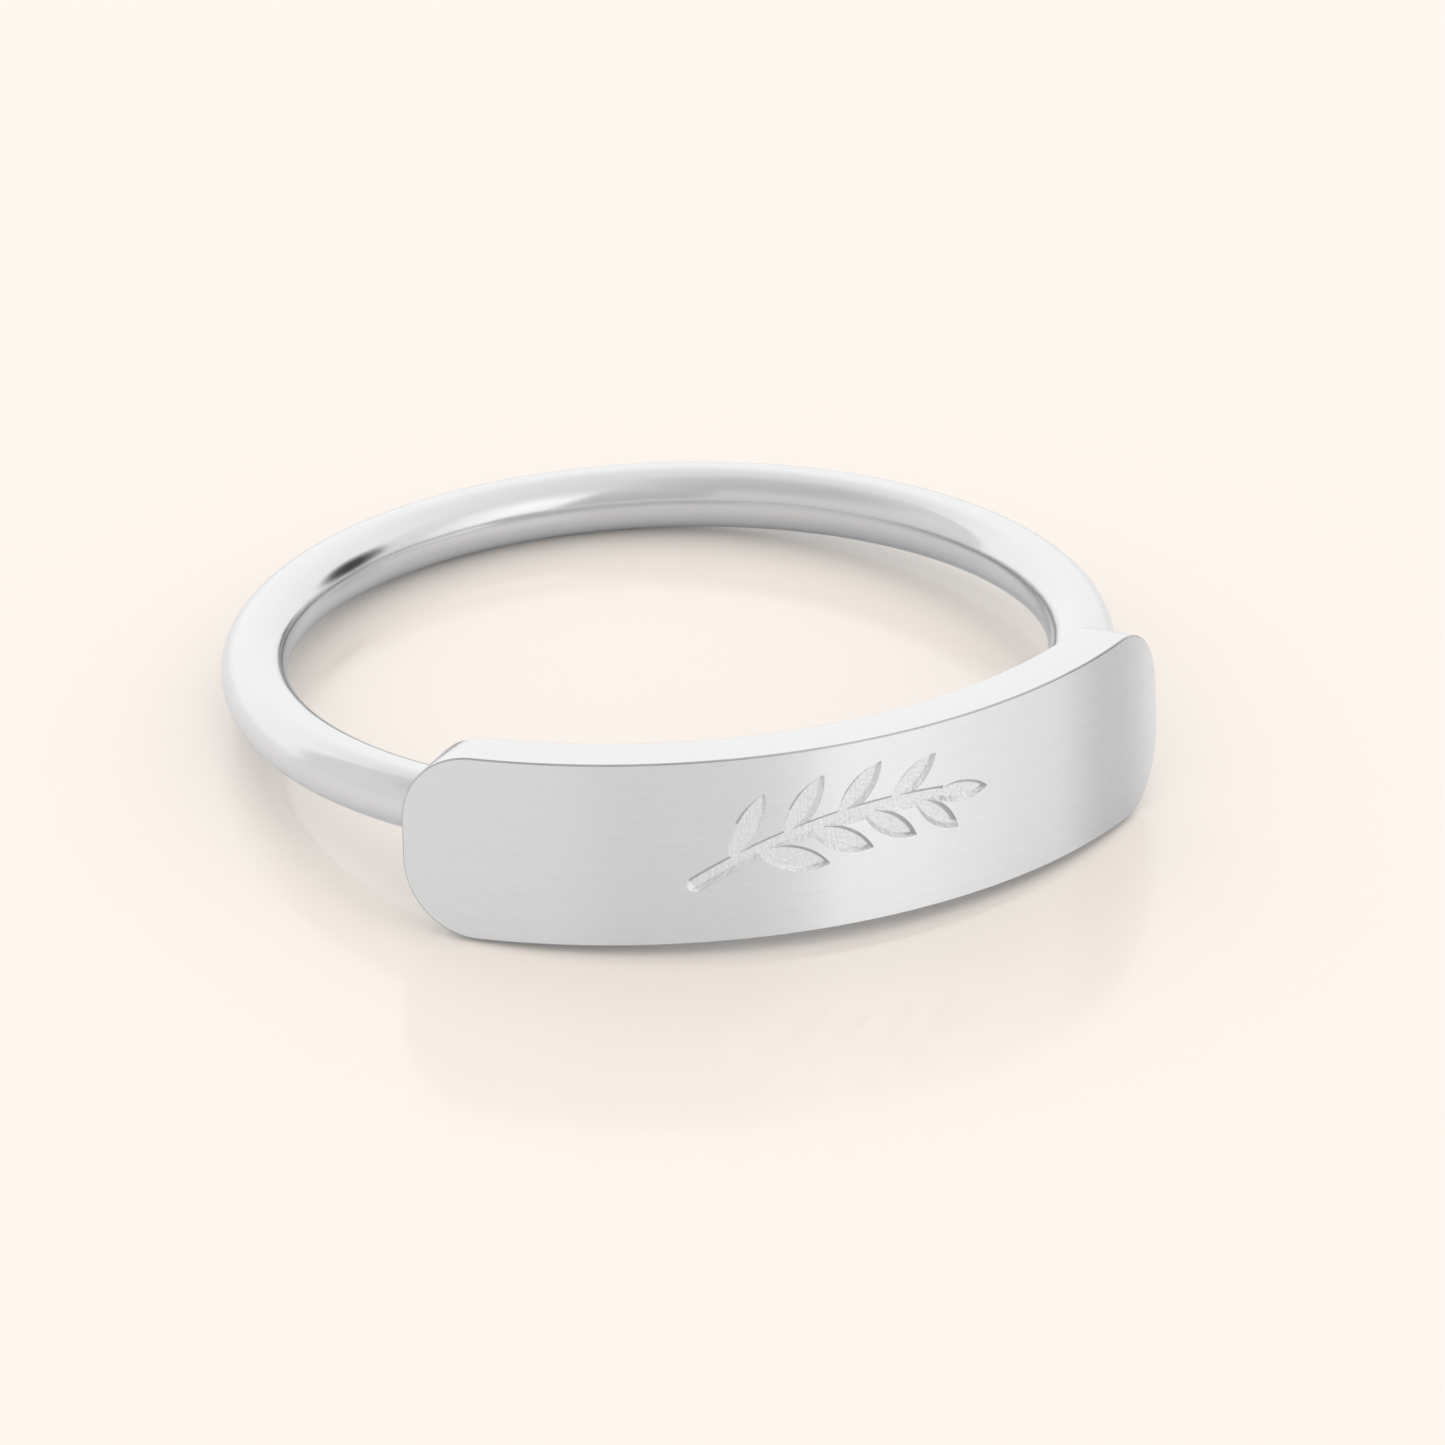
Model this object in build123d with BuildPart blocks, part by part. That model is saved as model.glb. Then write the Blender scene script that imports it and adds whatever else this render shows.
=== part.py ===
"""Bar ring: a round wire shank with a curved bar soldered across its front, lying on its side.

Millimetres. The ring is first drawn level, its axis along +Z and its bar facing -Y, and then laid
down as it rests by itself: on the lower edge of the bar near its two ends, and on the back of the
shank.
"""

import os
from math import asin, atan2, cos, degrees, hypot, sin

from build123d import *

# Shank: a round wire bent to a circle
finger_bore = 17.3  # US ring size 7
wire_diameter = 1.52

# Bar: a plate bent to an arc, gentler than the shank's
bar_length = 20.3  # along the arc of the front face
bar_height = 4.4
bar_thickness = 1.2
bar_bend_radius = 12.4  # of the front face
bar_corner_radius = 1.75
bar_edge_break = 0.05
bar_seat = 0.27  # how deep the shank is let into the bar's back

# Solder seam: fills the wedge between the shank and the bar's back
seam_drop = 0.12  # from the top and bottom of the shank down to the seam's
seam_setback = 0.3  # from the bar's ends, along its front face

# Engraving: a leafy sprig milled into the middle of the bar's front face
engraving_depth = 0.15
stem_foot = (-3.4, -0.75)  # along and up the front face, from its middle
stem_tip = (2.4, 0.45)
stem_sagitta = 0.5
stem_width = 0.4
leaf_length = 1.9
leaf_width = 0.66
leaf_splay = 38.0  # degrees between a leaf and the stem
leaf_pairs = 4
first_pair = 0.14  # share of the stem, from its foot
last_pair = 0.78
pair_stagger = 0.1  # share of the stem between the two leaves of a pair
tip_leaf = 0.96  # share of the stem where the leaf at its tip starts
tip_leaf_scale = 0.75  # size of the leaves at the tip, against those at the foot

# Places that follow from the sizes
wire_radius = wire_diameter / 2
shank_radius = finger_bore / 2 + wire_radius  # of the wire's centre line
bar_front_reach = finger_bore / 2 + wire_diameter - bar_seat + bar_thickness
bar_centre_y = bar_bend_radius - bar_front_reach
bar_back_radius = bar_bend_radius - bar_thickness
seam_height = wire_diameter - 2 * seam_drop


def wedge(half_angle):
    """Corner points of a kite that opens from the bend's centre towards -Y by half_angle each way."""
    reach = 2 * bar_bend_radius
    side_x, side_y = reach * sin(half_angle), bar_centre_y - reach * cos(half_angle)
    return [(0, bar_centre_y), (side_x, side_y), (0, side_y - reach), (-side_x, side_y)]


# Shank
with BuildPart() as shank:
    with BuildSketch(Plane.XZ):
        with Locations((shank_radius, 0)):
            Circle(wire_radius)
    revolve(axis=Axis.Z)

# Engraving: cut to the skin of the bar's front face
with BuildSketch() as leaf:
    with BuildLine():
        SagittaArc((0, 0), (leaf_length, 0), leaf_width / 2)
        SagittaArc((0, 0), (leaf_length, 0), -leaf_width / 2)
    make_face()

with BuildPart() as engraving:
    with BuildSketch(Plane.XZ.offset(bar_front_reach)):
        with BuildLine():
            stem = SagittaArc(stem_foot, stem_tip, stem_sagitta)
        trace(line_width=stem_width)
        with Locations(stem_foot):
            Circle(stem_width / 2)
        leaves = [(tip_leaf, 0)]
        for pair in range(leaf_pairs):
            share = first_pair + (last_pair - first_pair) * pair / (leaf_pairs - 1)
            leaves += [(share, leaf_splay), (share + pair_stagger, -leaf_splay)]
        for share, splay in leaves:
            with Locations(Location(stem @ share, stem.tangent_angle_at(share) + splay)):
                add(scale(leaf.sketch, by=1 - (1 - tip_leaf_scale) * share, mode=Mode.PRIVATE))
    extrude(amount=-bar_front_reach)
    with BuildSketch(Plane.XY.offset(-bar_height / 2)):
        with Locations((0, bar_centre_y)):
            Circle(bar_bend_radius + engraving_depth)
            Circle(bar_bend_radius - engraving_depth, mode=Mode.SUBTRACT)
    extrude(amount=bar_height, mode=Mode.INTERSECT)

# Bar: a ring sector with rounded corners, the edges of its front and back just broken
with BuildPart() as bar:
    with BuildSketch(Plane.XY.offset(-bar_height / 2)):
        with Locations((0, bar_centre_y)):
            Circle(bar_bend_radius)
            Circle(bar_back_radius, mode=Mode.SUBTRACT)
        Polygon(*wedge(bar_length / 2 / bar_bend_radius), align=None, mode=Mode.INTERSECT)
    extrude(amount=bar_height)
    corner_edges = bar.edges().filter_by(GeomType.LINE).filter_by(lambda edge: abs(edge.center().Z) > 0)
    fillet(corner_edges, radius=bar_corner_radius)
    front_and_back = bar.faces().filter_by(GeomType.CYLINDER).sort_by(Axis.Y)[:2]
    fillet(front_and_back.edges(), radius=bar_edge_break)
    add(engraving.part, mode=Mode.SUBTRACT)

# Solder seam
with BuildPart() as seam:
    with BuildSketch(Plane.XY.offset(-seam_height / 2)):
        with Locations((0, bar_centre_y)):
            Circle(bar_back_radius + bar_seat)
        Circle(shank_radius, mode=Mode.SUBTRACT)
        Polygon(
            *wedge((bar_length / 2 - seam_setback) / bar_bend_radius), align=None, mode=Mode.INTERSECT
        )
    extrude(amount=seam_height)

# The ring, laid down: the floor touches the bar's lower back edge and the back of the shank
contact_angle = (bar_length / 2 - bar_corner_radius) / bar_bend_radius
contact_y = bar_centre_y - bar_back_radius * cos(contact_angle)
rest_run, rest_rise = shank_radius - contact_y, bar_height / 2
rest_tilt = degrees(atan2(rest_rise, rest_run) - asin(wire_radius / hypot(rest_run, rest_rise)))

with BuildPart() as laid_ring:
    for piece in (shank, bar, seam):
        add(piece.part, rotation=(-rest_tilt, 0, 0))

lowest = laid_ring.part.bounding_box()
with BuildPart() as bar_ring:
    with Locations((0, -lowest.center().Y, -lowest.min.Z)):
        add(laid_ring.part)

bar_ring.part.label = "bar_ring"
os.makedirs("parts", exist_ok=True)
export_step(bar_ring.part, "parts/bar_ring.step")
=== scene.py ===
"""Looks of the bar ring: one fused silver body, its finishes, and a pale studio round it.

The ring's parts are made level and in millimetres. The fused ring is then leaned, and scaled and
moved to its place in the frame, in metres. The studio is in metres from the start.
"""

import logging
import math
from dataclasses import dataclass, field
from enum import Enum
from typing import Any

import bmesh
import bpy
from mathutils import Matrix, Vector


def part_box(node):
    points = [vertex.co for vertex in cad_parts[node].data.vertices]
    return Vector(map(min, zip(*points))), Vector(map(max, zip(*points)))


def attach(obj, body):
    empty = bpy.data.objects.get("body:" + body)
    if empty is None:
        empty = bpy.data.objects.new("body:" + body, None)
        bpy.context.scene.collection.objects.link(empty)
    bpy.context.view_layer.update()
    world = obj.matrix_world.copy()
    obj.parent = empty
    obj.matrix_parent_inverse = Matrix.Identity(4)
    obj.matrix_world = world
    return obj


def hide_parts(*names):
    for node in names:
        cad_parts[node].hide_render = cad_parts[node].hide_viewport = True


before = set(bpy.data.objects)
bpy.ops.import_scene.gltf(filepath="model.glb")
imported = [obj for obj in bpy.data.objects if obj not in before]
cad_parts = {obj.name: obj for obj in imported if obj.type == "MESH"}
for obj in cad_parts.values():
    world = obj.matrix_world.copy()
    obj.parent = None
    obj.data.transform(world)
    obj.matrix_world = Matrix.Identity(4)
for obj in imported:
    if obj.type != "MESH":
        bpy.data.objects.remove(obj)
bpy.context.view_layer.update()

MM = 0.001
NODE = "bar_ring"
BODY = "root"
BORE_SHADE_AND_SATIN = "inward"
FULL_TURN = 360.0
QUAD_CORNERS = 4
NOISE_MEAN = 0.5

# Stands up a shape that bmesh lays in the XY plane, so that it is in the XZ plane
UPRIGHT = Matrix.Rotation(math.pi / 2, 4, "X")

# Colour sockets of the Mix node, by place, because sockets of every data type share their names
MIX_FACTOR, MIX_FIRST, MIX_SECOND, MIX_RESULT = 0, 6, 7, 2

Colour = tuple[float, float, float]

log = logging.getLogger("bar_ring")


class Finish(Enum):
    """The finishes on the silver, each with its place among the body's materials."""

    POLISHED = 0
    BRUSHED = 1
    MILLED = 2
    # Painted shade: thin dark lines on the broken edge and on the cut's upper walls
    EDGE = 3


class Cut(Enum):
    """The ways of combining two closed meshes."""

    UNION = "UNION"
    DIFFERENCE = "DIFFERENCE"


class Signal:
    """A shader socket that takes part in Python arithmetic."""

    def __init__(self, graph: "Graph", socket: bpy.types.NodeSocket) -> None:
        """Wrap one output socket of a node in the graph."""
        self.graph = graph
        self.socket = socket

    def _math(self, operation: str, first: Any, second: Any) -> "Signal":
        """Add a Math node for one operation on two values or signals."""
        made = self.graph.node("ShaderNodeMath", {"operation": operation}, {0: first, 1: second})
        return made["Value"]

    def __add__(self, other: Any) -> "Signal":
        """Sum."""
        return self._math("ADD", self, other)

    __radd__ = __add__

    def __sub__(self, other: Any) -> "Signal":
        """Difference."""
        return self._math("SUBTRACT", self, other)

    def __rsub__(self, other: Any) -> "Signal":
        """Difference with the signal on the right."""
        return self._math("SUBTRACT", other, self)

    def __mul__(self, other: Any) -> "Signal":
        """Product."""
        return self._math("MULTIPLY", self, other)

    __rmul__ = __mul__

    def about(self, middle: float, span: float) -> "Signal":
        """Noise, moved so that it varies by the span about the middle."""
        return (self - NOISE_MEAN) * span + middle

    def part(self, axis: str) -> "Signal":
        """One component of a vector signal, named X, Y or Z."""
        return self.graph.node("ShaderNodeSeparateXYZ", None, {"Vector": self})[axis]


class Graph:
    """The nodes of one material or world, made from an empty tree."""

    def __init__(self, owner: bpy.types.ID) -> None:
        """Clear the owner's node tree and start on it.

        Args:
            owner: the material or world whose shader is written.
        """
        owner.use_nodes = True
        self.tree = owner.node_tree
        self.tree.nodes.clear()

    def node(
        self,
        kind: str,
        settings: dict[str, Any] | None = None,
        inputs: dict[Any, Any] | None = None,
    ) -> "Made":
        """Add a node.

        Args:
            kind: the node's type name.
            settings: attributes of the node, set before its sockets.
            inputs: values or signals for its input sockets, by name or by place.

        Returns:
            The node, whose outputs are read by name as signals.
        """
        made = self.tree.nodes.new(kind)
        for name, value in (settings or {}).items():
            setattr(made, name, value)
        for name, value in (inputs or {}).items():
            if isinstance(value, Signal):
                self.tree.links.new(value.socket, made.inputs[name])
            else:
                made.inputs[name].default_value = value
        return Made(self, made)

    def ramp(self, factor: Signal, stops: list[tuple[float, float]]) -> Signal:
        """Map a factor to a grey level along straight stretches.

        Args:
            factor: the signal to map.
            stops: pairs of place and level, in order.

        Returns:
            The level as a signal.
        """
        made = self.node("ShaderNodeValToRGB", None, {"Fac": factor})
        elements = made.node.color_ramp.elements
        while len(elements) < len(stops):
            elements.new(1.0)
        for element, (place, level) in zip(elements, stops):
            element.position = place
            element.color = (level, level, level, 1.0)
        return made["Color"]

    def mix(self, factor: Signal, first: Any, second: Any) -> Signal:
        """Blend two colours.

        Args:
            factor: 0 gives the first colour and 1 the second.
            first: a colour, a grey level or a signal.
            second: the same.

        Returns:
            The blend as a signal.
        """
        ends = [(end,) * 3 if isinstance(end, float) else end for end in (first, second)]
        ends = [end if isinstance(end, Signal) else (*end, 1.0) for end in ends]
        inputs = {MIX_FACTOR: factor, MIX_FIRST: ends[0], MIX_SECOND: ends[1]}
        made = self.node("ShaderNodeMix", {"data_type": "RGBA"}, inputs)
        return Signal(self, made.node.outputs[MIX_RESULT])


class Made:
    """A node just added to a graph."""

    def __init__(self, graph: Graph, node: bpy.types.Node) -> None:
        """Keep the node and the graph that it belongs to."""
        self.graph = graph
        self.node = node

    def __getitem__(self, name: str) -> Signal:
        """Output socket of that name, as a signal."""
        return Signal(self.graph, self.node.outputs[name])


def clamp(value: float) -> float:
    """Value held between 0 and 1."""
    return min(max(value, 0.0), 1.0)


def new_object(name: str, bm: bmesh.types.BMesh) -> bpy.types.Object:
    """Turn a bmesh into an object in the scene.

    Args:
        name: the object's name.
        bm: the mesh, which is freed.

    Returns:
        The new object, at the origin.
    """
    mesh = bpy.data.meshes.new(name)
    bm.to_mesh(mesh)
    bm.free()
    obj = bpy.data.objects.new(name, mesh)
    bpy.context.scene.collection.objects.link(obj)
    return obj


def combine(
    target: bpy.types.Object, tool: bpy.types.Object, cut: Cut, overlaps: bool = False
) -> None:
    """Join the tool's closed mesh to the target's, or cut it out, and delete the tool.

    Args:
        target: the object that keeps the result.
        tool: the object that is used up.
        cut: whether the tool is added or taken away.
        overlaps: whether the tool's own parts run through each other.
    """
    boolean = target.modifiers.new("combine", "BOOLEAN")
    boolean.operation = cut.value
    boolean.solver = "EXACT"
    boolean.use_self = overlaps
    boolean.object = tool
    evaluated = target.evaluated_get(bpy.context.evaluated_depsgraph_get())
    result = bpy.data.meshes.new_from_object(evaluated)
    target.modifiers.remove(boolean)
    old = target.data
    target.data = result
    bpy.data.meshes.remove(old)
    bpy.data.meshes.remove(tool.data)


def spin(
    bm: bmesh.types.BMesh,
    geometry: list[Any],
    centre: Vector,
    axis: Vector,
    angle: float,
    steps: int,
) -> list[Any]:
    """Sweep geometry along an arc.

    Args:
        bm: the mesh.
        geometry: the vertices, edges and faces that are swept.
        centre: a point on the arc's axis.
        axis: the arc's axis.
        angle: the arc's angle in radians; a full turn closes on itself.
        steps: how many pieces the arc has.

    Returns:
        The vertices, edges and faces at the arc's far end.
    """
    closed = math.isclose(abs(angle), math.tau)
    swept = bmesh.ops.spin(
        bm, geom=geometry, cent=centre, axis=axis, angle=angle, steps=steps, use_merge=closed
    )
    return swept["geom_last"]


def sort_by_place(bm: bmesh.types.BMesh) -> None:
    """Put vertices and edges in an order that is the same in each run, as operators don't.

    Args:
        bm: the mesh.
    """
    for rank, vert in enumerate(sorted(bm.verts, key=lambda vert: tuple(vert.co))):
        vert.index = rank
    bm.verts.sort()
    ends = {edge: sorted(vert.index for vert in edge.verts) for edge in bm.edges}
    for rank, edge in enumerate(sorted(bm.edges, key=lambda edge: ends[edge])):
        edge.index = rank
    bm.edges.sort()


def add_rectangle(bm: bmesh.types.BMesh, width: float, height: float) -> None:
    """Add an upright rectangle to an empty mesh.

    Args:
        bm: the mesh.
        width: the rectangle's size along X.
        height: its size along Z.
    """
    bmesh.ops.create_grid(bm, x_segments=1, y_segments=1, size=0.5, matrix=UPRIGHT)
    bmesh.ops.scale(bm, vec=(width, 1, height), verts=bm.verts)


@dataclass
class Sprig:
    """A leafy sprig in the flat plane of the bar's front: X along the bar, Z up, Y inwards."""

    depth: float = 0.11
    foot: tuple[float, float] = (-3.4, -0.75)
    tip: tuple[float, float] = (2.4, 0.45)
    sagitta: float = 0.5
    stem_width: float = 0.40
    leaf_length: float = 1.9
    leaf_width: float = 0.66
    splay: float = math.radians(38.0)
    pairs: int = 4
    first_pair: float = 0.14
    last_pair: float = 0.78
    stagger: float = 0.1
    tip_leaf: float = 0.96
    tip_scale: float = 0.75
    wall_run: float = 0.10
    lip: float = 0.02
    overshoot: float = 0.3
    overhang: float = 0.3
    arc_step: float = 0.04
    weld: float = 0.004

    def stem_arc(self) -> tuple[Vector, float, float]:
        """Work out the stem's arc, which bows upwards.

        Returns:
            Its centre, radius and half angle, in radians.
        """
        foot, tip = (Vector((along, 0, up)) for along, up in (self.foot, self.tip))
        chord = tip - foot
        radius = (chord.length**2 / 4 + self.sagitta**2) / (2 * self.sagitta)
        across = Vector((-chord.z, 0, chord.x)).normalized()
        centre = (foot + tip) / 2 - across * (radius - self.sagitta)
        return centre, radius, math.asin(chord.length / 2 / radius)

    def place_on_stem(self, share: float, turn: float) -> Matrix:
        """Place of something that grows from the stem.

        Args:
            share: how far along the stem, from 0 at the foot to 1 at the tip.
            turn: its direction against the stem's, positive upwards, in radians.

        Returns:
            The matrix from the thing's own frame, X outwards, to the sprig's.
        """
        centre, radius, half = self.stem_arc()
        lean = math.atan2(self.tip[1] - self.foot[1], self.tip[0] - self.foot[0])
        heading = lean + half * (1 - 2 * share)
        point = centre + radius * Vector((-math.sin(heading), 0, math.cos(heading)))
        return Matrix.Translation(point) @ Matrix.Rotation(-(heading + turn), 4, "Y")

    def wall(self) -> list[tuple[float, float]]:
        """Inset and depth at the foot of the straight lip and at the foot of the slope below it."""
        return [(0.0, self.lip), (self.wall_run, self.depth)]

    def sink(self, bm: bmesh.types.BMesh, middle: float, length: float, width: float) -> None:
        """Deepen a flat outline into a cutter whose walls close in towards its floor.

        Args:
            bm: a mesh with the outline's face, at Y = 0.
            middle: where the outline's middle lies along X.
            length: the outline's length.
            width: the outline's width.
        """
        bmesh.ops.translate(bm, vec=(0, -self.overshoot, 0), verts=bm.verts)
        faces, now = list(bm.faces), (0.0, -self.overshoot)
        about = Matrix.Translation((-middle, 0, 0))
        for inset, depth in self.wall():
            grown = bmesh.ops.extrude_face_region(bm, geom=faces)["geom"]
            if now[1] > 0:
                bmesh.ops.delete(bm, geom=faces, context="FACES_ONLY")
            faces = [f for f in grown if isinstance(f, bmesh.types.BMFace)]
            verts = list({v for f in faces for v in f.verts})
            bmesh.ops.translate(bm, vec=(0, depth - now[1], 0), verts=verts)
            shrink = [(size - 2 * inset) / (size - 2 * now[0]) for size in (length, width)]
            bmesh.ops.scale(bm, vec=(shrink[0], 1, shrink[1]), space=about, verts=verts)
            now = (inset, depth)
        bmesh.ops.recalc_face_normals(bm, faces=bm.faces)

    def leaf(self, size: float) -> bmesh.types.BMesh:
        """Cutter of one leaf, from its own foot at the origin along +X.

        Args:
            size: the leaf's scale.

        Returns:
            Its closed mesh.
        """
        bm = bmesh.new()
        length, rise = self.leaf_length * size, self.leaf_width * size / 2
        radius = (length**2 / 4 + rise**2) / (2 * rise)
        half = math.asin(length / 2 / radius)
        steps = round(2 * half * radius / self.arc_step)
        for side in (1, -1):
            start = bm.verts.new((0, 0, 0))
            centre = Vector((length / 2, 0, side * (rise - radius)))
            spin(bm, [start], centre, Vector((0, 1, 0)), side * 2 * half, steps)
        bmesh.ops.remove_doubles(bm, verts=bm.verts, dist=self.weld)
        bmesh.ops.contextual_create(bm, geom=bm.edges)
        self.sink(bm, length / 2, length, 2 * rise)
        return bm

    def stem(self) -> bmesh.types.BMesh:
        """Cutter of the stem's straight-ended run.

        Returns:
            Its closed mesh, in the sprig's frame.
        """
        bm = bmesh.new()
        centre, radius, half = self.stem_arc()
        foot = self.place_on_stem(0, 0)
        levels = [(0.0, -self.overshoot), *self.wall()]
        rim = [(self.stem_width / 2 - inset, depth) for inset, depth in levels]
        outline = [(-across, depth) for across, depth in rim] + rim[::-1]
        corners = [foot @ Vector((0, depth, across)) for across, depth in outline]
        section = bm.faces.new([bm.verts.new(corner) for corner in corners])
        steps = round(2 * half * radius / self.arc_step)
        spin(bm, [*bm.verts, *bm.edges, section], centre, Vector((0, 1, 0)), 2 * half, steps)
        bmesh.ops.recalc_face_normals(bm, faces=bm.faces)
        return bm

    def stem_end(self) -> bmesh.types.BMesh:
        """Cutter of the stem's round end.

        Returns:
            Its closed mesh, about the origin.
        """
        bm = bmesh.new()
        segments = round(math.pi * self.stem_width / self.arc_step)
        bmesh.ops.create_circle(
            bm, cap_ends=True, segments=segments, radius=self.stem_width / 2, matrix=UPRIGHT
        )
        self.sink(bm, 0, self.stem_width, self.stem_width)
        return bm

    def cutter(self) -> bmesh.types.BMesh:
        """Put all cutters of the sprig together.

        Returns:
            One mesh, whose parts run through each other.
        """
        parts = [(self.stem(), Matrix()), (self.stem_end(), self.place_on_stem(0, 0))]
        leaves = [(self.tip_leaf, 0.0)]
        for pair in range(self.pairs):
            share = self.first_pair + (self.last_pair - self.first_pair) * pair / (self.pairs - 1)
            leaves += [(share, self.splay), (share + self.stagger, -self.splay)]
        for share, turn in leaves:
            leaf = self.leaf(1 - (1 - self.tip_scale) * share)
            parts.append((leaf, self.place_on_stem(share, turn)))
        whole = bmesh.new()
        for part, place in parts:
            mesh = bpy.data.meshes.new("cutter")
            bmesh.ops.transform(part, matrix=place, verts=part.verts)
            part.to_mesh(mesh)
            part.free()
            whole.from_mesh(mesh)
            bpy.data.meshes.remove(mesh)
        for face in whole.faces:
            face.smooth = True
            # The cut's upper walls, which hang over, get lines of painted shade
            hangs_over = face.normal.z > self.overhang
            face.material_index = (Finish.EDGE if hangs_over else Finish.MILLED).value
        return whole


@dataclass
class Shank:
    """The round wire that goes round the finger."""

    bore: float = 17.3
    wire: float = 1.52
    steps_round: int = 320
    steps_section: int = 56

    @property
    def radius(self) -> float:
        """Radius of the wire's centre line."""
        return (self.bore + self.wire) / 2

    def build(self) -> bpy.types.Object:
        """Make the wire's mesh.

        Returns:
            The wire, level, about the Z axis.
        """
        bm = bmesh.new()
        place = Matrix.Translation((self.radius, 0, 0)) @ UPRIGHT
        bmesh.ops.create_circle(
            bm, segments=self.steps_section, radius=self.wire / 2, matrix=place
        )
        spin(bm, [*bm.verts, *bm.edges], Vector(), Vector((0, 0, 1)), math.tau, self.steps_round)
        bmesh.ops.recalc_face_normals(bm, faces=bm.faces)
        for face in bm.faces:
            face.smooth = True
        return new_object("shank", bm)


@dataclass
class Bar:
    """The engraved plate across the front, bent to an arc about its own centre."""

    length: float = 20.3
    height: float = 4.4
    thickness: float = 1.2
    bend: float = 12.4
    corner: float = 1.75
    edge_break: float = 0.04
    seat: float = 0.27
    strip: float = 0.1
    corner_steps: int = 32
    edge_steps: int = 4
    # A narrow strip along the broad faces' rims, which keeps their shading flat
    guard: float = 0.02
    tolerance: float = 0.002
    weld: float = 0.001
    side_on: float = 0.01
    sprig: Sprig = field(default_factory=Sprig)

    @property
    def back_radius(self) -> float:
        """Radius of the back face about the bend's centre."""
        return self.bend - self.thickness

    def blank(self) -> bpy.types.Object:
        """Make the plate before it is cut and bent.

        Returns:
            The plate, with its front face at Y = 0 and X along its length.
        """
        bm = bmesh.new()
        add_rectangle(bm, self.length, self.height)
        bmesh.ops.bevel(
            bm, geom=bm.verts, offset=self.corner, segments=self.corner_steps, profile=0.5,
            affect="VERTICES", material=-1,
        )
        back = bmesh.ops.extrude_face_region(bm, geom=list(bm.faces))["geom"]
        back_verts = [v for v in back if isinstance(v, bmesh.types.BMVert)]
        bmesh.ops.translate(bm, vec=(0, self.thickness, 0), verts=back_verts)
        bmesh.ops.recalc_face_normals(bm, faces=bm.faces)
        rims = [e for e in bm.edges if abs(e.verts[0].co.y - e.verts[1].co.y) < self.tolerance]
        bmesh.ops.bevel(
            bm, geom=rims, offset=self.edge_break, segments=self.edge_steps, profile=0.5,
            affect="EDGES", material=-1,
        )
        broad = [f for f in bm.faces if len(f.verts) > QUAD_CORNERS]
        bmesh.ops.inset_individual(bm, faces=broad, thickness=self.guard)
        for face in bm.faces:
            face.smooth = True
            face.material_index = self.finish(face).value
        return new_object("bar", bm)

    def finish(self, face: bmesh.types.BMFace) -> Finish:
        """Choose the finish of one face of the flat plate.

        Args:
            face: the face, with its front at -Y.

        Returns:
            Brushed on the front, painted edge shade on the broken edge round it, else polished.
        """
        depth, turned = face.calc_center_median().y, -face.normal.y
        if depth > self.edge_break or turned < self.side_on:
            return Finish.POLISHED
        return Finish.BRUSHED if turned > 1 - self.side_on else Finish.EDGE

    def engraver(self) -> bpy.types.Object:
        """Make the cutter for the flat plate.

        Returns:
            The cutter, drawn out so that the bend brings its cut back to size.
        """
        cutter = self.sprig.cutter()
        for vert in cutter.verts:
            vert.co.x = self.bend * math.asin(vert.co.x / self.bend)
        return new_object("engraver", cutter)

    def bend_round(self, bar: bpy.types.Object, centre_y: float) -> None:
        """Bend the flat plate about a vertical axis.

        Args:
            bar: the flat plate.
            centre_y: where the bend's centre lies.
        """
        bm = bmesh.new()
        bm.from_mesh(bar.data)
        sort_by_place(bm)
        bmesh.ops.remove_doubles(bm, verts=bm.verts, dist=self.weld)
        bmesh.ops.dissolve_degenerate(bm, edges=bm.edges, dist=self.weld)
        count = int(self.length / 2 / self.strip)
        for index in range(-count, count + 1):
            bmesh.ops.bisect_plane(
                bm, geom=[*bm.verts, *bm.edges, *bm.faces], dist=self.weld,
                plane_co=(index * self.strip, 0, 0), plane_no=(1, 0, 0),
            )
        floor = self.sprig.depth - self.tolerance
        for face in bm.faces:
            milled = face.material_index == Finish.MILLED.value
            if milled and min(v.co.y for v in face.verts) > floor:
                face.smooth = False
        for vert in bm.verts:
            radius, angle = self.bend - vert.co.y, vert.co.x / self.bend
            vert.co.x = radius * math.sin(angle)
            vert.co.y = centre_y - radius * math.cos(angle)
        bm.to_mesh(bar.data)
        bm.free()


@dataclass
class SolderSeam:
    """The solder that fills the wedge between the shank and the bar's back."""

    drop: float = 0.12
    setback: float = 0.3
    steps: int = 96

    def build(self, shank: Shank, bar: Bar, centre_y: float) -> bpy.types.Object:
        """Make the seam's mesh.

        Args:
            shank: the wire that the seam runs along.
            bar: the plate that the seam is on.
            centre_y: where the bar's bend has its centre.

        Returns:
            The seam, reaching into both.
        """
        bm = bmesh.new()
        inner, outer = bar.back_radius - shank.wire / 2, bar.back_radius + bar.seat
        half_height = shank.wire / 2 - self.drop
        half_angle = (bar.length / 2 - self.setback) / bar.bend
        add_rectangle(bm, outer - inner, 2 * half_height)
        bmesh.ops.translate(bm, vec=((outer + inner) / 2, centre_y, 0), verts=bm.verts)
        centre = Vector((0, centre_y, 0))
        start = Matrix.Rotation(-math.pi / 2 - half_angle, 3, "Z")
        bmesh.ops.rotate(bm, cent=centre, matrix=start, verts=bm.verts)
        section = [*bm.verts, *bm.edges, *bm.faces]
        spin(bm, section, centre, Vector((0, 0, 1)), 2 * half_angle, self.steps)
        bmesh.ops.recalc_face_normals(bm, faces=bm.faces)
        for face in bm.faces:
            face.smooth = True
        return new_object("solder_seam", bm)


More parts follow.
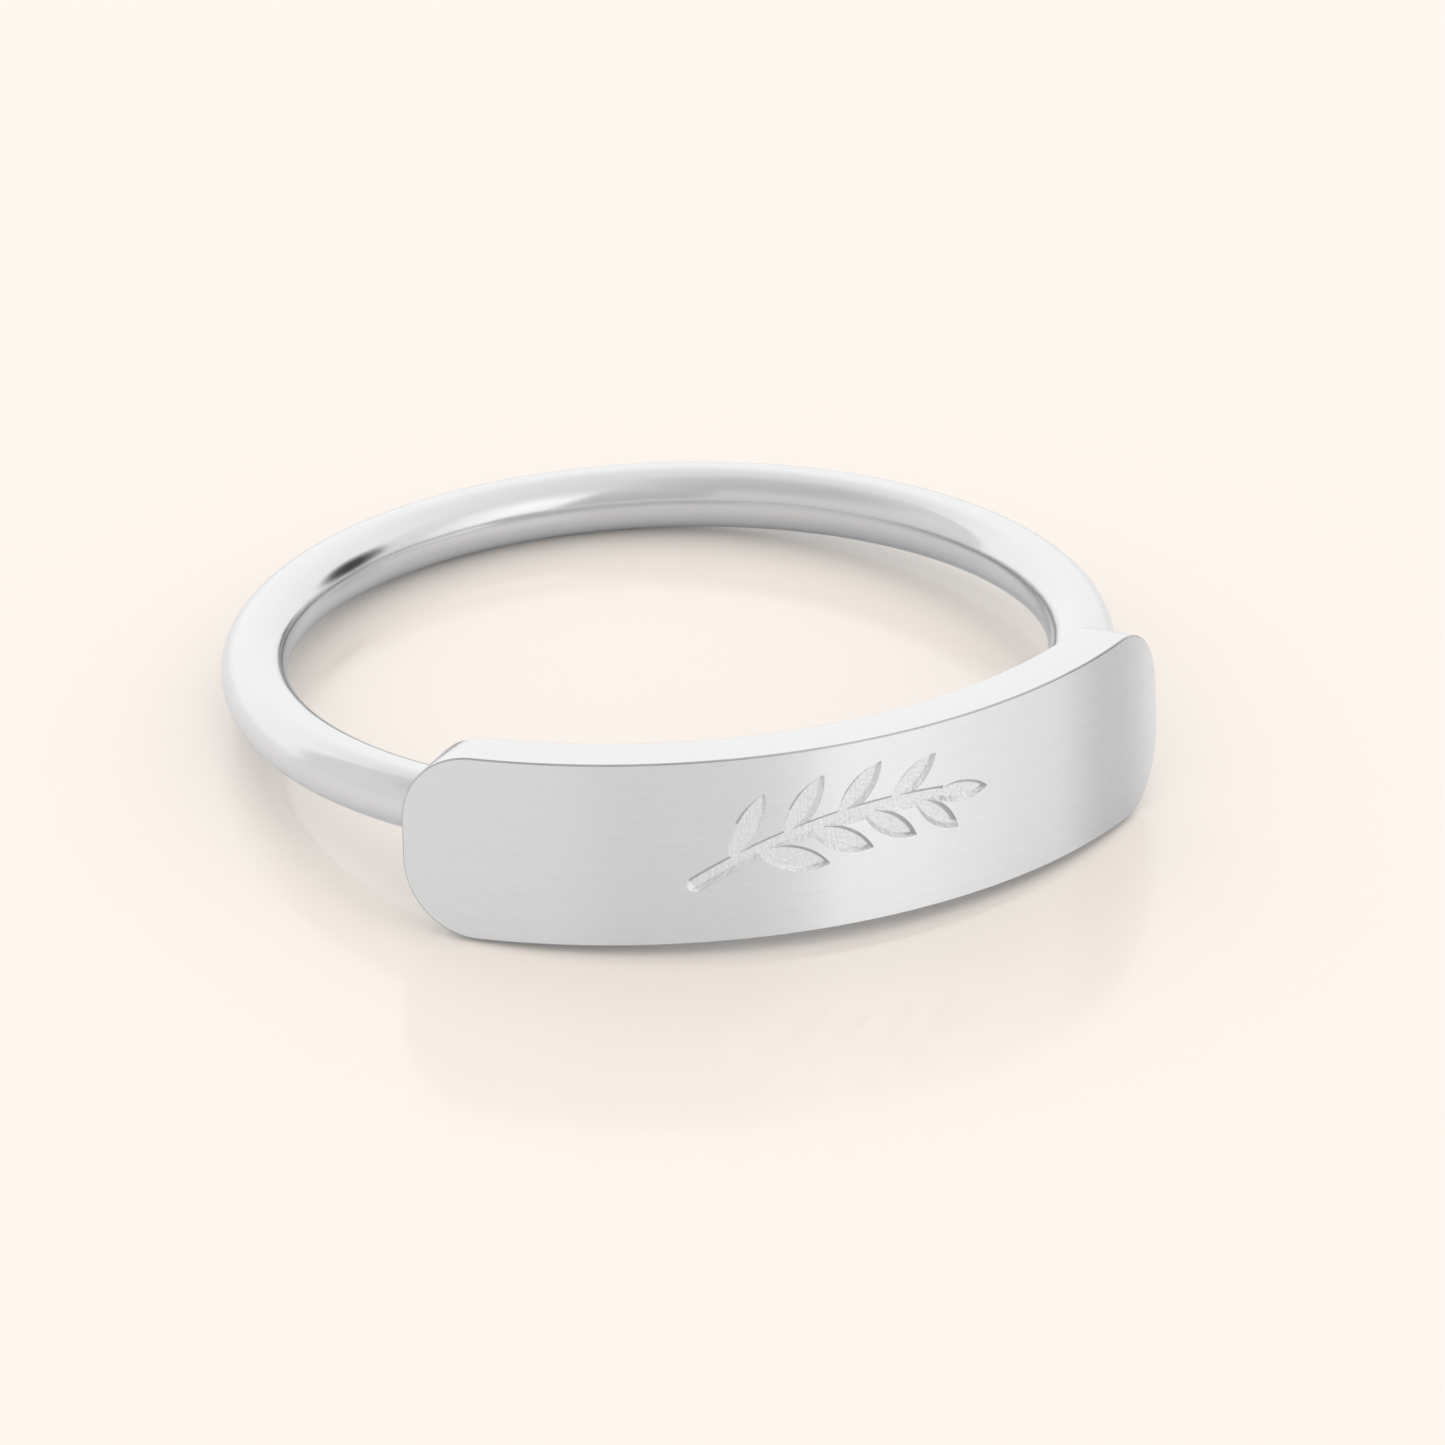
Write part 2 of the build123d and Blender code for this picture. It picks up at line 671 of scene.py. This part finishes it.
def principled(graph: Graph, inputs: dict[str, Any]) -> None:
    """Finish a material's graph with a Principled shader.

    Args:
        graph: the material's graph.
        inputs: values and signals for the shader's sockets.
    """
    shader = graph.node("ShaderNodeBsdfPrincipled", None, inputs)["BSDF"]
    graph.node("ShaderNodeOutputMaterial", None, {"Surface": shader})


def ring_coordinates(graph: Graph, tilt: float) -> Signal:
    """Coordinates in millimetres that lie with the ring: Z along its axis.

    Args:
        graph: the material's graph.
        tilt: how far the ring leans, in radians.

    Returns:
        The coordinates as a vector signal.
    """
    place = graph.node("ShaderNodeTexCoord")["Object"]
    inputs = {"Vector": place, "Rotation": (tilt, 0, 0), "Scale": (1 / MM,) * 3}
    return graph.node("ShaderNodeMapping", None, inputs)["Vector"]


def noise(graph: Graph, place: Signal, scale: float, detail: float) -> Signal:
    """Noise that is the same in all directions.

    Args:
        graph: the material's graph.
        place: coordinates in millimetres.
        scale: changes for each millimetre.
        detail: octaves of finer noise.

    Returns:
        The noise, which varies about NOISE_MEAN.
    """
    inputs = {"Vector": place, "Scale": scale, "Detail": detail}
    return graph.node("ShaderNodeTexNoise", None, inputs)["Fac"]


def streaks(graph: Graph, place: Signal, along: float, across: float, detail: float) -> Signal:
    """Noise drawn out into level lines.

    Args:
        graph: the material's graph.
        place: coordinates in millimetres.
        along: changes for each millimetre along the lines.
        across: changes for each millimetre across them.
        detail: octaves of finer noise.

    Returns:
        The noise, which varies about NOISE_MEAN.
    """
    drawn = graph.node(
        "ShaderNodeVectorMath", {"operation": "MULTIPLY"}, {0: place, 1: (along, along, across)}
    )["Vector"]
    return noise(graph, drawn, 1.0, detail)


def bumps(graph: Graph, height: Signal, depth: float) -> Signal:
    """Normals of a surface that a pattern makes uneven.

    Args:
        graph: the material's graph.
        height: the pattern.
        depth: how far a step of 1 in the pattern lifts the surface, in millimetres.

    Returns:
        The normals as a vector signal.
    """
    inputs = {"Height": height, "Strength": 1.0, "Distance": depth * MM}
    return graph.node("ShaderNodeBump", None, inputs)["Normal"]


@dataclass(frozen=True)
class BrushedSilver:
    """Silver brushed along the bar, with fine level lines."""

    bright: float = 1.0
    dull: float = 0.96
    bright_from: float = 0.62
    dull_to: float = 0.38
    roughness: float = 0.34
    roughness_span: float = 0.06
    anisotropy: float = 1.0
    quarter_turn: float = 0.25
    fine_share: float = 0.7
    line_depth: float = 0.0010

    def material(self, tilt: float) -> bpy.types.Material:
        """Make the material.

        Args:
            tilt: how far the ring leans, in radians.

        Returns:
            The new material.
        """
        made = bpy.data.materials.new("brushed_silver")
        graph = Graph(made)
        place = ring_coordinates(graph, tilt)
        fine = streaks(graph, place, along=2.5, across=30.0, detail=2.0)
        broad = streaks(graph, place, along=0.2, across=8.0, detail=2.0)
        lines = fine * self.fine_share + broad * (1 - self.fine_share)
        stops = [(self.dull_to, self.dull), (self.bright_from, self.bright)]
        principled(graph, {
            "Base Color": graph.ramp(lines, stops),
            "Metallic": 1.0,
            "Roughness": fine.about(self.roughness, self.roughness_span),
            "Anisotropic": self.anisotropy,
            "Anisotropic Rotation": self.quarter_turn,
            "Normal": bumps(graph, lines, self.line_depth),
        })
        return made


@dataclass(frozen=True)
class PolishedSilver:
    """Silver polished by hand: faintly uneven, and low in the bore rougher and darkened with
    painted shade.
    """

    colour: Colour = (0.82, 0.82, 0.82)
    # Painted shade: the darker colour low in the bore, on the wire's inner side near the floor
    inside: Colour = (0.72, 0.72, 0.72)
    roughness: float = 0.13
    roughness_span: float = 0.06
    inside_satin: float = 0.06
    wave_depth: float = 0.01

    def material(self, tilt: float) -> bpy.types.Material:
        """Make the material.

        Args:
            tilt: how far the ring leans, in radians.

        Returns:
            The new material.
        """
        made = bpy.data.materials.new("polished_silver")
        graph = Graph(made)
        place = ring_coordinates(graph, tilt)
        waves = noise(graph, place, scale=0.8, detail=1.0)
        marks = noise(graph, place, scale=9.0, detail=4.0)
        # Share of painted shade low in the bore, which also raises the roughness there
        inward = graph.node("ShaderNodeAttribute", {"attribute_name": BORE_SHADE_AND_SATIN})["Fac"]
        evenly = marks.about(self.roughness, self.roughness_span)
        principled(graph, {
            "Base Color": graph.mix(inward, self.colour, self.inside),
            "Metallic": 1.0,
            "Roughness": evenly + inward * self.inside_satin,
            "Normal": bumps(graph, waves, self.wave_depth),
        })
        return made


@dataclass(frozen=True)
class PaintedEdgeShade:
    """The broken edge round the bar's front, and the cut's upper walls: thin lines of painted
    shade, lighter in places at random.
    """

    # Painted shade: the lines' dark colour, and a lighter one that noise mixes in at random
    colour: Colour = (0.50, 0.50, 0.50)
    worn: Colour = (0.625, 0.625, 0.625)
    roughness: float = 0.25
    roughness_span: float = 0.1

    def material(self, tilt: float) -> bpy.types.Material:
        """Make the material.

        Args:
            tilt: how far the ring leans, in radians.

        Returns:
            The new material.
        """
        made = bpy.data.materials.new("painted_edge_shade")
        graph = Graph(made)
        wear = noise(graph, ring_coordinates(graph, tilt), scale=2.5, detail=3.0)
        principled(graph, {
            "Base Color": graph.mix(wear, self.colour, self.worn),
            "Metallic": 1.0,
            "Roughness": wear.about(self.roughness, self.roughness_span),
        })
        return made


@dataclass(frozen=True)
class MilledSilver:
    """The cut's floor and its other walls, left matt and grainy by the cutter."""

    bright: float = 1.0
    dull: float = 0.93
    bright_from: float = 0.6
    dull_to: float = 0.4
    roughness: float = 0.40
    roughness_span: float = 0.2
    grain_depth: float = 0.024

    def material(self, tilt: float) -> bpy.types.Material:
        """Make the material.

        Args:
            tilt: how far the ring leans, in radians.

        Returns:
            The new material.
        """
        made = bpy.data.materials.new("milled_silver")
        graph = Graph(made)
        place = ring_coordinates(graph, tilt)
        grain = noise(graph, place, scale=16.0, detail=2.0)
        chatter = streaks(graph, place, along=11.0, across=1.5, detail=1.0)
        stops = [(self.dull_to, self.dull), (self.bright_from, self.bright)]
        principled(graph, {
            "Base Color": graph.ramp(grain, stops),
            "Metallic": 1.0,
            "Roughness": grain.about(self.roughness, self.roughness_span),
            "Normal": bumps(graph, grain + chatter, self.grain_depth),
        })
        return made


@dataclass
class BarRing:
    """The whole ring: shank, bar and solder, fused and laid on its side."""

    shank: Shank = field(default_factory=Shank)
    bar: Bar = field(default_factory=Bar)
    seam: SolderSeam = field(default_factory=SolderSeam)
    sharp_angle: float = math.radians(28.0)
    # How fast the wire's painted shade and rougher finish grow inwards and downwards, for each half
    # of its thickness
    inward_rise: float = 2.0
    sunk_from: float = 0.5
    sunk_rise: float = 3.0

    @property
    def bend_centre(self) -> float:
        """Where the centre of the bar's bend lies along Y."""
        front = self.shank.bore / 2 + self.shank.wire - self.bar.seat + self.bar.thickness
        return self.bar.bend - front

    @property
    def tilt(self) -> float:
        """How far the ring leans as it rests on the bar's lower edge and the shank's back.

        Returns:
            The angle, in radians.
        """
        contact_angle = (self.bar.length / 2 - self.bar.corner) / self.bar.bend
        contact = self.bend_centre - self.bar.back_radius * math.cos(contact_angle)
        run, rise = self.shank.radius - contact, self.bar.height / 2
        return math.atan2(rise, run) - math.asin(self.shank.wire / 2 / math.hypot(run, rise))

    @property
    def hole_middle(self) -> Vector:
        """Where the finger hole's middle lies.

        Returns:
            The place in the frame, in metres.
        """
        _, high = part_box(NODE)
        radius, half = self.shank.radius, self.shank.wire / 2
        forwards = (radius * math.cos(self.tilt) + half) * MM
        upwards = (radius * math.sin(self.tilt) + half) * MM
        return Vector((0, high.y - forwards, upwards))

    def build(self) -> bpy.types.Object:
        """Make the ring's mesh and dress it.

        Returns:
            The fused ring, in the place of the frame's node.
        """
        ring, engraver = self.bar.blank(), self.bar.engraver()
        seam = self.seam.build(self.shank, self.bar, self.bend_centre)
        shank = self.shank.build()
        finishes = self.finishes()
        for raw in (ring, engraver, seam, shank):
            for finish in finishes:
                raw.data.materials.append(finish)
            log.info("%s: %d faces", raw.name, len(raw.data.polygons))
        combine(ring, engraver, Cut.DIFFERENCE, overlaps=True)
        self.bar.bend_round(ring, self.bend_centre)
        combine(shank, seam, Cut.UNION)
        combine(ring, shank, Cut.UNION)
        ring.name = ring.data.name = "silver_ring"
        ring.data.set_sharp_from_angle(angle=self.sharp_angle)
        self.mark_bore_shade_and_satin(ring)
        self.lay_down(ring)
        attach(ring, BODY)
        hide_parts(NODE)
        return ring

    def finishes(self) -> list[bpy.types.Material]:
        """Make the finishes.

        Returns:
            The materials, in the order of their places on the body.
        """
        makers = {
            Finish.POLISHED: PolishedSilver(),
            Finish.BRUSHED: BrushedSilver(),
            Finish.MILLED: MilledSilver(),
            Finish.EDGE: PaintedEdgeShade(),
        }
        return [makers[finish].material(self.tilt) for finish in Finish]

    def mark_bore_shade_and_satin(self, ring: bpy.types.Object) -> None:
        """Write on the ring's points their share of painted shade and roughness: 1 low in the bore,
        else 0.

        Args:
            ring: the level ring, in millimetres.
        """
        mesh, half = ring.data, self.shank.wire / 2
        shares = []
        for vert in mesh.vertices:
            inward = (self.shank.radius - math.hypot(vert.co.x, vert.co.y)) / half
            sunk = self.sunk_from - vert.co.z / half
            shares.append(clamp(self.inward_rise * inward) * clamp(self.sunk_rise * sunk))
        mesh.attributes.new(BORE_SHADE_AND_SATIN, "FLOAT", "POINT").data.foreach_set("value", shares)

    def lay_down(self, ring: bpy.types.Object) -> None:
        """Lean the ring, scale it to metres and move it to its place in the frame.

        Args:
            ring: the level ring, in millimetres.
        """
        mesh = ring.data
        mesh.transform(Matrix.Scale(MM, 4) @ Matrix.Rotation(-self.tilt, 4, "X"))
        low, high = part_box(NODE)
        ys = [v.co.y for v in mesh.vertices]
        lowest = min(v.co.z for v in mesh.vertices)
        middle = (min(ys) + max(ys)) / 2
        shift = (0, (low.y + high.y) / 2 - middle, low.z - lowest)
        mesh.transform(Matrix.Translation(shift))


def direction(azimuth: float, elevation: float) -> Vector:
    """Unit vector to a place round the ring.

    Args:
        azimuth: 0 in front, at -Y, and 90 at +X, in degrees.
        elevation: above the floor, in degrees.

    Returns:
        The vector from the origin towards the place.
    """
    turn, rise = math.radians(azimuth), math.radians(elevation)
    level = math.cos(rise)
    return Vector((math.sin(turn) * level, -math.cos(turn) * level, math.sin(rise)))


def facing_ring(azimuth: float, elevation: float) -> tuple[float, float, float]:
    """Rotation of a light or camera in that direction that looks back at the ring."""
    return math.pi / 2 - math.radians(elevation), 0, math.radians(azimuth)


@dataclass(frozen=True)
class Flag:
    """A soft dark round patch in what the metal mirrors, its angles in degrees."""

    azimuth: float
    elevation: float
    core: float
    rim: float
    depth: float

    def shade(self, graph: Graph, ray: Signal) -> Signal:
        """Work out how much of the light the flag lets through.

        Args:
            graph: the surroundings' graph.
            ray: the direction that is looked in.

        Returns:
            The share of the light, from 0 to 1.
        """
        towards = graph.node(
            "ShaderNodeVectorMath", {"operation": "DOT_PRODUCT"},
            {0: ray, 1: direction(self.azimuth, self.elevation)},
        )["Value"]
        inside, outside = math.cos(math.radians(self.core)), math.cos(math.radians(self.rim))
        cover = graph.node(
            "ShaderNodeMapRange", {"interpolation_type": "SMOOTHSTEP"},
            {"Value": towards, "From Min": outside, "From Max": inside},
        )["Result"]
        return 1 - cover * self.depth


@dataclass(frozen=True)
class Surroundings:
    """What the metal mirrors: pale panels leaning round the ring, a ceiling, and two dark flags."""

    # Azimuth in degrees and level of light, in order round the ring
    panels: tuple[tuple[float, float], ...] = (
        (-180.0, 1.08), (-150.0, 1.04), (-126.0, 1.02), (-123.0, 0.76), (-106.0, 0.78),
        (-90.0, 0.75), (-30.0, 0.72), (-25.0, 0.58), (14.0, 0.61), (19.0, 1.17),
        (38.0, 1.20), (48.0, 1.07), (57.0, 0.99), (65.0, 0.84), (82.0, 0.85),
        (98.0, 0.98), (114.0, 0.97), (150.0, 1.04), (180.0, 1.08),
    )
    # Place of azimuth 0 on the panels' ramp, and degrees they turn by from level to overhead
    front: float = 0.5
    lean: float = 20.0
    ceiling: float = 0.81
    to_right: float = 0.18
    to_back: float = 0.08
    ceiling_from: float = 0.50
    ceiling_to: float = 0.95
    flags: tuple[Flag, ...] = (
        Flag(azimuth=88.0, elevation=15.0, core=4.0, rim=18.0, depth=0.94),
        Flag(azimuth=-75.0, elevation=57.0, core=8.0, rim=38.0, depth=0.18),
    )
    sky: Colour = (0.952, 0.863, 0.782)
    backdrop: Colour = (0.991, 0.913, 0.838)

    def build(self) -> None:
        """Make the world: an even warm sky over the floor, and the panels in the metal."""
        world = bpy.data.worlds.new("surroundings")
        bpy.context.scene.world = world
        graph = Graph(world)
        ray = graph.node("ShaderNodeTexCoord")["Generated"]
        turn = graph.node(
            "ShaderNodeMath", {"operation": "ARCTAN2"}, {0: ray.part("X"), 1: 0 - ray.part("Y")}
        )["Value"]
        standing = graph.ramp(
            turn * (1 / math.tau) + ray.part("Z") * (self.lean / FULL_TURN) + self.front,
            [(self.front + azimuth / FULL_TURN, level) for azimuth, level in self.panels],
        )
        rise = graph.node(
            "ShaderNodeMapRange", {"interpolation_type": "SMOOTHSTEP"},
            {"Value": ray.part("Z"), "From Min": self.ceiling_from, "From Max": self.ceiling_to},
        )["Result"]
        overhead = ray.part("X") * self.to_right + ray.part("Y") * self.to_back + self.ceiling
        light = graph.mix(rise, standing, overhead)
        for flag in self.flags:
            light = light * flag.shade(graph, ray)
        path = graph.node("ShaderNodeLightPath")
        mirrored = graph.mix(path["Is Diffuse Ray"] + path["Diffuse Depth"], light, self.sky)
        colour = graph.mix(path["Is Camera Ray"], mirrored, self.backdrop)
        background = graph.node("ShaderNodeBackground", None, {"Color": colour, "Strength": 1.0})
        graph.node("ShaderNodeOutputWorld", None, {"Surface": background["Background"]})


@dataclass(frozen=True)
class Floor:
    """The smooth white floor.

    The metal sees it in a cooler colour, which evens out the warm light, and the camera sees it
    glow a little.
    """

    size: float = 3.0
    colour: Colour = (0.93, 0.93, 0.93)
    in_metal: Colour = (0.842, 0.905, 0.980)
    glow: Colour = (0.060, 0.055, 0.050)
    roughness: float = 0.12
    index: float = 1.75

    def build(self) -> None:
        """Make the floor at Z = 0."""
        bm = bmesh.new()
        bmesh.ops.create_grid(bm, x_segments=1, y_segments=1, size=self.size / 2)
        floor = new_object("floor", bm)
        material = bpy.data.materials.new("floor")
        floor.data.materials.append(material)
        graph = Graph(material)
        path = graph.node("ShaderNodeLightPath")
        principled(graph, {
            "Base Color": graph.mix(path["Is Glossy Ray"], self.colour, self.in_metal),
            "Emission Color": graph.mix(path["Is Camera Ray"], 0.0, self.glow),
            "Emission Strength": 1.0,
            "Roughness": self.roughness,
            "IOR": self.index,
        })


@dataclass(frozen=True)
class Softbox:
    """A light panel high behind the ring, which nothing mirrors."""

    azimuth: float = 185.0
    elevation: float = 46.0
    distance: float = 2.4
    width: float = 1.5
    depth: float = 1.5
    radiance: float = 0.6
    colour: Colour = (1.0, 0.91, 0.83)

    def build(self) -> None:
        """Make the light, aimed at the origin."""
        data = bpy.data.lights.new("softbox", "AREA")
        data.shape = "RECTANGLE"
        data.size, data.size_y = self.width, self.depth
        data.energy = self.radiance * math.pi * self.width * self.depth
        data.color = self.colour
        lamp = bpy.data.objects.new("softbox", data)
        bpy.context.scene.collection.objects.link(lamp)
        lamp.location = direction(self.azimuth, self.elevation) * self.distance
        lamp.rotation_euler = facing_ring(self.azimuth, self.elevation)
        lamp.visible_glossy = False


@dataclass(frozen=True)
class Camera:
    """A camera with a long lens, looking down on the ring from the front left."""

    focal_length: float = 400.0
    azimuth: float = -21.10
    elevation: float = 28.15
    distance: float = 0.3653
    aim_right: float = 1.24 * MM
    aim_down: float = 1.545 * MM

    def build(self, ring_centre: Vector) -> None:
        """Make the camera.

        Args:
            ring_centre: the middle of the finger hole, up and left of the picture's middle.
        """
        data = bpy.data.cameras.new("camera")
        data.lens = self.focal_length
        camera = bpy.data.objects.new("camera", data)
        bpy.context.scene.collection.objects.link(camera)
        camera.rotation_euler = facing_ring(self.azimuth, self.elevation)
        turned = camera.rotation_euler.to_matrix()
        aim = ring_centre + turned @ Vector((self.aim_right, -self.aim_down, 0))
        camera.location = aim + direction(self.azimuth, self.elevation) * self.distance
        bpy.context.scene.camera = camera


def main() -> None:
    """Build the ring and its studio."""
    logging.basicConfig(level=logging.INFO, format="%(name)s: %(message)s")
    bpy.context.scene.view_settings.view_transform = "Standard"
    ring = BarRing()
    body = ring.build()
    log.info("%s: %d faces", body.name, len(body.data.polygons))
    Floor().build()
    Surroundings().build()
    Softbox().build()
    Camera().build(ring.hole_middle)


if __name__ == "__main__":
    main()
